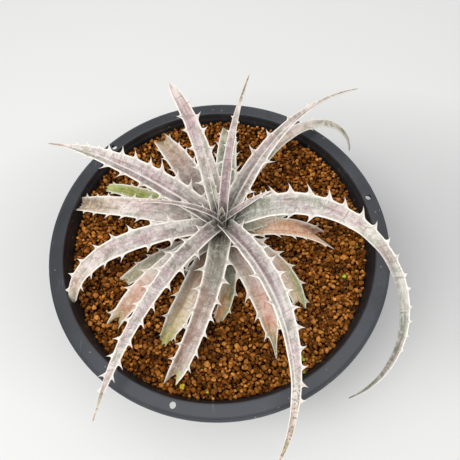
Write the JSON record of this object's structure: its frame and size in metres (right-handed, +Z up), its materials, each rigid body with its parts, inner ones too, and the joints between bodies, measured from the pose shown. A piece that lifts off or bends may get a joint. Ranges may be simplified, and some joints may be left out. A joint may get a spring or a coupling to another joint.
{
  "type": "potted spiny-leaved bromeliad",
  "caption": "Open rosette of arching silver-grey leaves with cream hooked teeth, growing in baked clay granules in a round dark plastic hanging pot that stands on its base.",
  "frame": {"origin": "middle of the pot's flat base, on the surface that it stands on", "axes": "+Z up the pot's axis, +X to the right and +Y away from the side that is seen in front; the crown of the plant leans out over the pot's middle"},
  "size_m": [0.2065, 0.2242, 0.2107],
  "materials": {
    "pot_plastic": "matte moulded plastic, dusty and lightly scuffed",
    "clay_granules": "dry, rough baked clay granules",
    "stem": "dry, fibrous",
    "leaf_silver": "matte silver bloom over green, cream horny margin",
    "leaf_grey_green": "matte, ageing bloom over green",
    "leaf_green": "matte, yellowing",
    "leaf_tan": "dry and papery",
    "leaf_pink": "dry and papery, flushed pink",
    "leaf_dry": "dry, orange brown"
  },
  "bodies": {
    "root": {"pot": "pot_plastic", "soil": "clay_granules", "stem": "stem", "leaf_inner_spike": "leaf_grey_green", "leaf_inner_back_left": "leaf_silver", "leaf_inner_back": "leaf_silver", "leaf_inner_right": "leaf_silver", "leaf_inner_left": "leaf_silver", "leaf_upper_back_left": "leaf_silver", "leaf_upper_back_right": "leaf_silver", "leaf_upper_front": "leaf_silver", "leaf_upper_right": "leaf_silver", "leaf_upper_front_left": "leaf_silver", "leaf_upper_left": "leaf_silver", "leaf_upper_left_low": "leaf_silver", "leaf_middle_front": "leaf_tan", "leaf_middle_left": "leaf_silver", "leaf_middle_back_right": "leaf_grey_green", "leaf_old_front_right": "leaf_pink", "leaf_old_right_grey": "leaf_grey_green", "leaf_old_right_front": "leaf_tan", "leaf_old_left_front": "leaf_pink", "leaf_old_front_left": "leaf_tan", "leaf_old_back_left": "leaf_tan", "leaf_old_back": "leaf_grey_green", "leaf_old_front": "leaf_tan", "leaf_old_right_back": "leaf_green", "leaf_old_right_dry": "leaf_dry", "leaf_old_left": "leaf_green", "leaf_old_right_under": "leaf_tan", "leaf_old_left_under": "leaf_grey_green"}
  },
  "joints": []
}
